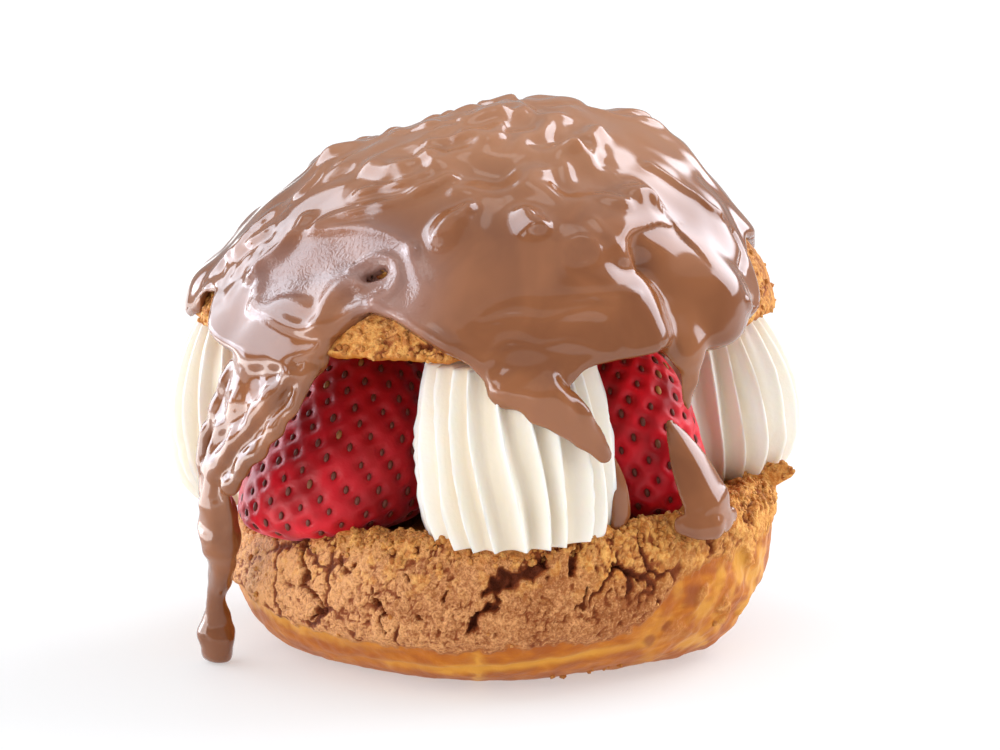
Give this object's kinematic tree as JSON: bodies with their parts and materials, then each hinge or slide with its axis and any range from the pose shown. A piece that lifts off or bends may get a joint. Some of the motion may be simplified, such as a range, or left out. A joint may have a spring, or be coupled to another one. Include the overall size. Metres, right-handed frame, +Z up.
{
  "type": "filled choux bun",
  "caption": "Split choux bun with a crackled crust, piped cream and upright strawberries between its halves, and milk chocolate poured over the lid.",
  "frame": {"origin": "centre of the flat underside of the lower half, on the surface it stands on", "axes": "+Z up, -Y to the front of the picture, +X to its right"},
  "size_m": [0.1084, 0.1107, 0.0926],
  "materials": {
    "choux": "baked pastry with a rough crackled crust",
    "chocolate": "glossy set milk chocolate",
    "cream": "soft piped cream",
    "strawberry": "fresh strawberry skin with pitted seeds"
  },
  "bodies": {
    "root": {"choux_base": "choux", "choux_lid": "choux", "chocolate_coat": "chocolate", "chocolate_run_wide": "chocolate", "chocolate_run_narrow": "chocolate", "cream_front": "cream", "cream_right": "cream", "cream_back": "cream", "cream_left": "cream", "cream_middle": "cream", "strawberry_front_left": "strawberry", "strawberry_front_right": "strawberry", "strawberry_back_right": "strawberry", "strawberry_back_left": "strawberry"}
  },
  "joints": []
}
